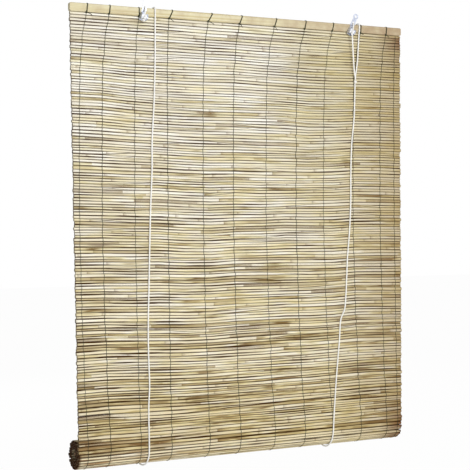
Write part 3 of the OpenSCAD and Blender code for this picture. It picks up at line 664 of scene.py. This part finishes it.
def rolled_tree():
    """The lower end of the mat, rolled up behind it: reeds along a spiral that starts under the last hanging
    reed and winds in to the batten."""
    make, given = start_tree(
        "Rolled reeds", Int="Reeds, Columns, Sides, Seed", Material="Material",
        Float="Left, Right, Middle y, Middle z, Radius, Turn pitch, Reed pitch, Ragged, Hollow, Bore, Wear")
    points, row, column, share, side, seeds = reed_grid(make, given, given["Reeds"])
    # Reeds are counted by twos, as in the hanging rows.
    reed = make(TIMES, row, 2.0)

    # Angle along the spiral for every reed, from the length wound so far.
    drift = make(RANDOM, -0.12, 0.12, row, seeds[0])
    wander = make(RANDOM, -0.14, 0.14, row, seeds[1])
    drift = make(TIMES_PLUS, wander, side, drift)
    wound = make(TIMES, make(PLUS, row, drift), given["Reed pitch"])
    slope = make(OVER, given["Turn pitch"], 2 * math.pi)
    squared = make(TIMES, given["Radius"], given["Radius"])
    used = make(TIMES, make(TIMES, wound, slope), 2.0)
    inner = make(ROOT, make(MINUS, squared, used))
    angle = make(OVER, make(MINUS, given["Radius"], inner), slope)
    out = make(PLUS, inner, make(RANDOM, -0.5 * MM, 0.4 * MM, row, seeds[2]))
    out_y, out_z = [make(TIMES, make(kind, angle), -1.0) for kind in (COSINE, SINE)]
    y = make(TIMES_PLUS, out, out_y, given["Middle y"])
    z = make(TIMES_PLUS, out, out_z, given["Middle z"])
    at_left, at_right = [make(RANDOM, 0.0, given["Ragged"], row, seed) for seed in (seeds[3], seeds[4])]
    start, stop = make(PLUS, given["Left"], at_left), make(MINUS, given["Right"], at_right)
    x = make("ShaderNodeMix", share, start, stop, data_type="FLOAT")

    full = make(RANDOM, 0.45, 0.51, reed, seeds[7])
    swell = make(RANDOM, -0.06, 0.06, reed, seeds[8])
    radius = make(TIMES, given["Reed pitch"], make(TIMES_PLUS, swell, side, full))
    tone = make(RANDOM, 0.85, 1.5, reed, seeds[9])
    pick = make(RANDOM, 0.0, 1.0, reed, seeds[10])
    out = make(VECTOR, 0.0, out_y, out_z)
    tubes = reed_tubes(make, given, points, (x, y, z), out, tone=tone, pick=pick, radius=radius, group=reed,
                       order=column, part=1.0)
    return end_tree(tubes, given["Material"])


def round_lines(make, given, lines, sides, radius):
    """Closes a tree with smooth round tubes along lines, of a radius that is a share of the thickness."""
    section = make(SECTION, {"Resolution": sides, "Radius": radius})
    tubes = make(SWEEP, {"Curve": lines, "Profile Curve": section, "Scale": given["Thickness"],
                         "Fill Caps": True})
    return end_tree(make(SMOOTH, {"Geometry": tubes, "Shade Smooth": True}), given["Material"])


def drape_tree():
    """Threads pulled on to what they bind: each point of a line that floats off the blind is sent along its
    own aim until it meets a reed or the rail, and never past the middle of the mat."""
    make, given = start_tree("Draped threads", Object="Hanging, Rolled, Rail", Float="Reach, Thickness",
                             Material="Material")
    target = make("GeometryNodeJoinGeometry")
    for label in ("Rail", "Rolled", "Hanging"):
        part = make("GeometryNodeObjectInfo", {"Object": given[label]}, transform_space="ORIGINAL")
        feed(target, part.outputs["Geometry"])
    aim = make(STORED_VECTOR, {"Name": "aim"})
    ray = make("GeometryNodeRaycast", {"Target Geometry": target, "Source Position": make(PLACE),
                                       "Ray Direction": aim, "Ray Length": given["Reach"]}).outputs
    far = make("GeometryNodeSwitch", {"Switch": ray["Is Hit"], "False": given["Reach"],
                                      "True": ray["Hit Distance"]}, input_type="FLOAT")
    # A thread sinks in by a part of its thickness.
    sunk = make(TIMES_PLUS, given["Thickness"], -0.35, far)
    lines = make(MOVE, {"Geometry": given["Geometry"], "Offset": make(SCALED, aim, sunk)})
    return round_lines(make, given, make("GeometryNodeMeshToCurve", {"Mesh": lines}), 4, 0.5)


def knots_tree():
    """A small pulled-up knot at every given point."""
    make, given = start_tree("Thread knots", Float="Size", Material="Material")
    ball = make("GeometryNodeMeshIcoSphere", {"Radius": 0.5, "Subdivisions": 2})
    here = make(PLACE)
    rough = make(TIMES_PLUS, make(NOISE, here, 5.0), 0.7, 0.65)
    ball = make(MOVE, {"Geometry": ball, "Position": make(SCALED, here, rough)})
    ball = make(SMOOTH, {"Geometry": ball, "Shade Smooth": True})
    turn = make(RANDOM, {"Min": (0.0, 0.0, 0.0), "Max": (6.28, 6.28, 6.28), "Seed": 5},
                data_type="FLOAT_VECTOR")
    knots = make("GeometryNodeInstanceOnPoints", {
        "Points": given["Geometry"], "Instance": ball, "Rotation": turn,
        "Scale": make(VECTOR, *[given["Size"]] * 3)})
    return end_tree(knots, given["Material"])


def cord_tree():
    """A laid cord along a curve: three strands that wind round it."""
    make, given = start_tree("Laid cord", Float="Thickness, Lay, Step", Material="Material")
    line = make("GeometryNodeResampleCurve", {"Curve": given["Geometry"], "Length": given["Step"]},
                mode="LENGTH")
    line = make("GeometryNodeSetCurveNormal", {"Curve": line}, mode="MINIMUM_TWIST")
    strands = make("GeometryNodeDuplicateElements", {"Geometry": line, "Amount": 3}, domain="SPLINE").outputs
    start = make(TIMES, strands["Duplicate Index"], 2 * math.pi / 3)
    turns = make(OVER, make("GeometryNodeSplineParameter").outputs["Length"], given["Lay"])
    angle = make(TIMES_PLUS, turns, 2 * math.pi, start)
    normal = make("GeometryNodeInputNormal")
    across = make(CROSS, make("GeometryNodeInputTangent"), normal)
    # Strands lie about a quarter of the cord's thickness off its middle, and are about half as thick.
    off = make(TIMES, given["Thickness"], 0.245)
    move = make(TOGETHER, *[make(SCALED, way, make(TIMES, make(kind, angle), off))
                            for way, kind in ((normal, COSINE), (across, SINE))])
    return round_lines(make, given, make(MOVE, {"Geometry": strands["Geometry"], "Offset": move}), 6, 0.262)


def line_mesh(name, lines, aims=None):
    """A mesh of open lines, with the aim of every point if it is given."""
    points = [p for line in lines for p in line]
    edges, first = [], 0
    for line in lines:
        edges += [(first + k, first + k + 1) for k in range(len(line) - 1)]
        first += len(line)
    mesh = bpy.data.meshes.new(name)
    mesh.from_pydata(points, edges, [])
    if aims:
        attribute = mesh.attributes.new("aim", "FLOAT_VECTOR", "POINT")
        attribute.data.foreach_set("vector", [c for line in aims for a in line for c in a])
    return mesh


def line_curve(name, points):
    """A curve of one open line."""
    curve = bpy.data.curves.new(name, "CURVE")
    curve.dimensions = "3D"
    spline = curve.splines.new("POLY")
    spline.points.add(len(points) - 1)
    for point, place in zip(spline.points, points):
        point.co = (*place, 1.0)
    return curve


def smooth_path(route, step):
    """Points about a step apart on a smooth curve through the route's points."""
    points = [Vector(p) for p in route]
    points = [2 * points[0] - points[1], *points, 2 * points[-1] - points[-2]]
    path = []
    for a, b, c, d in zip(points, points[1:], points[2:], points[3:]):
        t1 = (b - a).length ** 0.5
        t2 = t1 + (c - b).length ** 0.5
        t3 = t2 + (d - c).length ** 0.5
        count = max(1, round((c - b).length / step))
        for k in range(count):
            t = t1 + (t2 - t1) * k / count
            ab, bc, cd = a.lerp(b, t / t1), b.lerp(c, (t - t1) / (t2 - t1)), c.lerp(d, (t - t2) / (t3 - t2))
            abc, bcd = ab.lerp(bc, t / t2), bc.lerp(cd, (t - t1) / (t3 - t1))
            path.append(abc.lerp(bcd, (t - t1) / (t2 - t1)))
    return [*path, points[-2]]


def wander_at(share):
    """Share of a thread's wander at a share of the mat's height, in smooth steps."""
    for (a, low), (b, high) in zip(WANDER, WANDER[1:]):
        if share <= b:
            t = (share - a) / (b - a)
            return low + (high - low) * t * t * (3 - 2 * t)
    return WANDER[-1][1]


def circle_at(degrees):
    """Cosine and sine of an angle in degrees."""
    return math.cos(math.radians(degrees)), math.sin(math.radians(degrees))


def dress(material, *nodes):
    """Gives CAD nodes a material in place of their plain one."""
    for node in nodes:
        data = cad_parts[node].data
        data.materials.clear()
        data.materials.append(material)


class BLIND_OT_plane_rail(bpy.types.Operator):
    """Finishes the head rail as planed pine and the roll's batten as softwood dark with age"""
    bl_idname = "blind.plane_rail"
    bl_label = "Plane the Rail"

    def execute(self, context):
        dress(planed_pine(context.scene.blind_rail), "top_rail")
        dress(aged_batten(), "core_batten")
        return {"FINISHED"}


class BLIND_OT_hang_reeds(bpy.types.Operator):
    """Lays the hanging reeds and winds the lower ones into the roll"""
    bl_idname = "blind.hang_reeds"
    bl_label = "Hang and Roll the Reeds"

    def execute(self, context):
        sizes, roll = context.scene.blind_reeds, context.scene.blind_roll
        top = RAIL_LOW.z - sizes.under
        foot = roll.height + roll.reed_pitch / 2
        shared = {"Sides": sizes.sides, "Ragged": sizes.ragged, "Hollow": sizes.hollow, "Bore": sizes.bore,
                  "Seed": sizes.seed, "Material": dry_reed(sizes)}
        grow("hanging_reeds", hanging_tree(), {
            **shared, "Rows": sizes.rows, "Columns": sizes.columns, "Left": RAIL_LOW.x,
            "Width": RAIL_HIGH.x - RAIL_LOW.x, "Middle": MAT_Y, "Top": top, "Height": top - foot,
            "Spread": sizes.spread, "Taper": sizes.taper, "Joined": sizes.joined, "Proud": sizes.proud,
            "Lift": sizes.lift, "Left lean": sizes.left_lean, "Right lean": sizes.right_lean,
            "Wear": sizes.wear}, bpy.data.meshes.new("hanging"), "reed_mat")
        grow("rolled_reeds", rolled_tree(), {
            **shared, "Reeds": roll.reeds, "Columns": roll.columns, "Left": ROLL_LOW.x, "Right": ROLL_HIGH.x,
            "Middle y": MAT_Y + roll.radius, "Middle z": roll.height, "Radius": roll.radius,
            "Turn pitch": roll.turn_pitch, "Reed pitch": roll.reed_pitch, "Wear": roll.wear},
            bpy.data.meshes.new("rolled"), "mat_roll")
        return {"FINISHED"}


class BLIND_OT_bind_threads(bpy.types.Operator):
    """Binds the warp threads over the rail, down both faces of the mat and round the roll"""
    bl_idname = "blind.bind_threads"
    bl_label = "Bind the Threads"

    def execute(self, context):
        sizes, roll = context.scene.blind_threads, context.scene.blind_roll
        thread = twisted_thread(sizes.colour)
        dice = random.Random(3)
        # Lines start this far off the blind. The rail's corners are rounded, and a lean ends below the rail.
        reach, corner, lean_run = 20 * MM, 3 * MM, 60 * MM
        # Steps on each face of the rail, degrees between points on its corners and on the roll, and where
        # the thread on the roll ends.
        face_steps, corner_step, roll_step, roll_end = 5, 15, 2, 300
        # Ripples have 160 radians a metre and grow over the first ninth of the way. A doubled loop lies
        # beside the first by a little more than its thickness.
        ripple_rate, ripple_growth, beside = 160, 9, 1.1 * sizes.thickness
        # Points on a loose tail, and its least and greatest length and drop in millimetres.
        tail_steps, tail_long, tail_drop = 13, (9, 19), (2.5, 9)
        left, width = RAIL_LOW.x, RAIL_HIGH.x - RAIL_LOW.x
        front, back = RAIL_LOW.y, RAIL_HIGH.y
        # The threads on the mat's back start just over the roll.
        top, foot, behind = RAIL_HIGH.z, RAIL_LOW.z, roll.height + roll.radius + 5 * MM
        lines, aims, knots = [], [], []

        def lay(points):
            """Keeps one thread, given as its points and the way from each to what it lies on."""
            lines.append([p for p, _ in points])
            aims.append([way for _, way in points])

        for number, (share, lean, stray) in enumerate(WARPS):
            at_rail, lean = left + share * width, lean * MM
            loops = number < RAIL_LOOPS
            phase = dice.random() * 6.28

            def x_at(z):
                depth = (foot - z) / (foot - roll.height)
                ripple = sizes.ripple * math.sin(z * ripple_rate + phase) * min(1.0, depth * ripple_growth)
                return at_rail - wander_at(depth) * stray * MM + ripple

            # Up the back of the mat.
            count = round((foot - behind) / sizes.step)
            up = []
            for k in range(count):
                z = behind + (foot - behind) * k / count
                x = x_at(z) + loops * lean * max(0.0, 1 - (foot - z) / lean_run)
                up.append(((x, MAT_Y + reach, z), (0, -1, 0)))
            # Over the rail: its back, its two upper corners and its face.
            flat = top - foot - corner
            levels = [(k / face_steps, foot + flat * k / face_steps) for k in range(face_steps + 1)]
            over = [((at_rail + lean, back + reach, z), (0, -1, 0)) for _, z in levels]
            for y, first in ((back - corner, 0), (front + corner, 90)):
                for turn in range(corner_step, 90, corner_step):
                    c, s = circle_at(first + turn)
                    out = corner + reach
                    over.append(((at_rail + lean, y + out * c, top - corner + out * s), (0, -c, -s)))
            over += [((at_rail + lean * part, front - reach, z), (0, 1, 0)) for part, z in reversed(levels)]
            # Down the front of the mat and round the roll.
            count = round((foot - roll.height) / sizes.step)
            down = [foot + (roll.height - foot) * k / count for k in range(1, count)]
            down = [((x_at(z), MAT_Y - reach, z), (0, 1, 0)) for z in down]
            for turn in range(0, roll_end, roll_step):
                c, s = circle_at(turn)
                out = roll.radius - roll.turn_pitch * turn / 360 + reach
                place = (x_at(roll.height), MAT_Y + roll.radius - out * c, roll.height - out * s)
                down.append((place, (0, c, s)))
            if not loops:
                lay(up)
                lay(down)
                continue
            lay(up + over + down)
            # The loop on the rail is doubled, and tied under the rail.
            lay([((x + beside, y, z), way) for (x, y, z), way in over])
            knots.append((at_rail, front - 0.3 * MM, foot - 0.6 * MM))
            # A loose tail of thread runs off to the right of most knots.
            long, drop = dice.uniform(*tail_long) * MM, dice.uniform(*tail_drop) * MM
            if dice.random() < sizes.tails:
                tail = [k / tail_steps for k in range(tail_steps + 1)]
                lay([((at_rail + long * t, MAT_Y - reach, foot - 1 * MM - drop * t * t), (0, 1, 0))
                     for t in tail])
        grow("warp_threads_bound", drape_tree(), {
            "Hanging": bpy.data.objects["hanging_reeds"], "Rolled": bpy.data.objects["rolled_reeds"],
            "Rail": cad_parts["top_rail"], "Reach": reach, "Thickness": sizes.thickness,
            "Material": thread}, line_mesh("thread_lines", lines, aims), "warp_threads")
        grow("thread_knots", knots_tree(), {"Size": sizes.knot, "Material": thread},
             line_mesh("knot_points", [[k] for k in knots]), "warp_threads")
        return {"FINISHED"}


class BLIND_OT_fit_brackets(bpy.types.Operator):
    """Finishes the metal: plated straps, nylon wheels, rivets, screws and staples"""
    bl_idname = "blind.fit_brackets"
    bl_label = "Fit the Brackets"

    def execute(self, context):
        colours = context.scene.blind_fittings
        dress(zinc_plate(colours.zinc), "left_bracket", "right_bracket")
        dress(moulded_nylon(colours.nylon), "left_wheel", "right_wheel")
        dress(drawn_steel(colours.steel), "left_axle", "right_axle", "bracket_screws", "cord_staples")
        return {"FINISHED"}


class BLIND_OT_run_cords(bpy.types.Operator):
    """Runs the lift cords from their staples under the roll and over the wheels, and ties their knots"""
    bl_idname = "blind.run_cords"
    bl_label = "Run the Cords"

    def execute(self, context):
        sizes = context.scene.blind_cords
        tree = cord_tree()
        values = {"Thickness": sizes.thickness, "Lay": sizes.lay, "Step": sizes.step,
                  "Material": laid_cotton(sizes.colour)}
        path_step, knot_steps = 1.5 * MM, 60

        def knot(name, node, middle, across, part):
            """An overhand knot of the cord, pulled tight to the size of its solid."""
            thickness = sizes.thickness * part
            # The knot's curve below is 6 across.
            scale = (across - thickness) / 6
            points = []
            for k in range(knot_steps):
                t = 2 * math.pi * k / knot_steps
                loop = Vector((math.sin(t) + 2 * math.sin(2 * t), -1.7 * math.sin(3 * t),
                               math.cos(t) - 2 * math.cos(2 * t)))
                points.append(Vector(middle) + scale * loop)
            return grow(name, tree, {**values, "Thickness": thickness}, line_curve(name, points), node)

        for side, hand, route, tied in ((-1, "left", LEFT_ROUTE, "stop"), (1, "right", RIGHT_ROUTE, "tie")):
            path = smooth_path([(MM * (side * EYE_X + x), MAT_Y + MM * y, RAIL_HIGH.z + MM * z)
                                for x, y, z in route], path_step)
            cord = grow(f"{hand}_lift_cord", tree, values, line_curve(hand, path), f"{hand}_cord")
            low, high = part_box(f"{hand}_{tied}_knot")
            middle, across = (low + high) / 2, high.x - low.x
            on_cord = [knot(f"{hand}_cord_knot", f"{hand}_{tied}_knot", middle, across, 1.0),
                       knot(f"{hand}_end_knot", "cord_end_knots", path[0], sizes.end_knot, sizes.pulled)]
        return {"FINISHED"}


def seen(make):
    """One for light on its way to the camera, straight, mirrored or through something, and nought else."""
    rays = make("ShaderNodeLightPath").outputs
    straight = make(MOST, rays["Is Camera Ray"], rays["Is Glossy Ray"])
    return make(MOST, straight, rays["Is Transmission Ray"])


class BLIND_OT_set_stage(bpy.types.Operator):
    """Sets the pale floor, the studio light and the camera"""
    bl_idname = "blind.set_stage"
    bl_label = "Set the Stage"

    def execute(self, context):
        scene, sizes = context.scene, context.scene.blind_stage
        scene.view_settings.view_transform = "Standard"
        level = CAD_BOX[0].z - sizes.drop
        mesh = bpy.data.meshes.new("floor")
        corners = ((-1, -1), (1, -1), (1, 1), (-1, 1))
        mesh.from_pydata([(FLOOR_HALF * x, FLOOR_HALF * y, level) for x, y in corners], [], [(0, 1, 2, 3)])
        floor = bpy.data.objects.new("floor", mesh)
        scene.collection.objects.link(floor)

        # Painted floor: pale and dull. Seen straight or mirrored it reads as white, and keeps a soft shadow.
        paint, make, shader, _ = start_material("painted_floor")
        feed(shader, {"Base Color": sizes.floor, "Roughness": 0.9})
        white = make("ShaderNodeEmission", {"Color": (1, 1, 1, 1), "Strength": 1.0})
        mixed = make("ShaderNodeMixShader", make(TIMES, seen(make), FLOOR_WHITE), shader, white)
        feed(next(n for n in paint.node_tree.nodes if n.type == "OUTPUT_MATERIAL"), {"Surface": mixed})
        mesh.materials.append(paint)

        world = bpy.data.worlds.new("studio")
        scene.world = world
        world.use_nodes = True
        make = partial(add, world.node_tree)
        sky = next(n for n in world.node_tree.nodes if n.type == "BACKGROUND")
        strength = make("ShaderNodeMix", seen(make), sizes.fill, 1.0, data_type="FLOAT")
        feed(sky, {"Color": (1, 1, 1, 1), "Strength": strength})

        for name, power, place in (("key", sizes.key, KEY_PLACE), ("rear", sizes.rear, REAR_PLACE)):
            lamp = bpy.data.lights.new(name, "AREA")
            lamp.shape = "RECTANGLE"
            lamp.size, lamp.size_y = LAMP_SIZE
            lamp.energy = power
            light = bpy.data.objects.new(name, lamp)
            light.location = place
            light.rotation_euler = (LAMPS_FACE - light.location).to_track_quat("-Z", "Y").to_euler()
            scene.collection.objects.link(light)

        lens = bpy.data.cameras.new("camera")
        lens.sensor_width, lens.lens = CAMERA_SENSOR, CAMERA_LENS
        camera = bpy.data.objects.new("camera", lens)
        pose = Matrix.Translation(CAMERA_PLACE)
        for turn, axis in CAMERA_TURNS:
            pose = pose @ Matrix.Rotation(math.radians(turn), 4, axis)
        camera.matrix_world = pose
        scene.collection.objects.link(camera)
        scene.camera = camera
        return {"FINISHED"}


STEPS = (BLIND_OT_set_stage, BLIND_OT_run_cords, BLIND_OT_plane_rail, BLIND_OT_hang_reeds,
         BLIND_OT_bind_threads, BLIND_OT_fit_brackets)
GROUPS = (
    ("blind_reeds", BLIND_PG_reeds), ("blind_roll", BLIND_PG_roll), ("blind_threads", BLIND_PG_threads),
    ("blind_rail", BLIND_PG_rail), ("blind_fittings", BLIND_PG_fittings), ("blind_cords", BLIND_PG_cords),
    ("blind_stage", BLIND_PG_stage))


class BLIND_PT_panel(bpy.types.Panel):
    """Lists the blind's sizes and the steps that make it"""
    bl_idname = "BLIND_PT_panel"
    bl_label = "Reed Blind"
    bl_space_type = "VIEW_3D"
    bl_region_type = "UI"
    bl_category = "Reed Blind"

    def draw(self, context):
        for step in STEPS:
            self.layout.operator(step.bl_idname)
        for name, group in GROUPS:
            box = self.layout.box()
            for prop in group.__annotations__:
                box.prop(getattr(context.scene, name), prop)


def register():
    for name, group in GROUPS:
        bpy.utils.register_class(group)
        setattr(bpy.types.Scene, name, PointerProperty(type=group))
    for kind in (*STEPS, BLIND_PT_panel):
        bpy.utils.register_class(kind)


def unregister():
    for kind in (BLIND_PT_panel, *reversed(STEPS)):
        bpy.utils.unregister_class(kind)
    for name, group in reversed(GROUPS):
        delattr(bpy.types.Scene, name)
        bpy.utils.unregister_class(group)


def main():
    register()
    for step in STEPS:
        family, name = step.bl_idname.split(".")
        getattr(getattr(bpy.ops, family), name)()


if __name__ == "__main__":
    main()
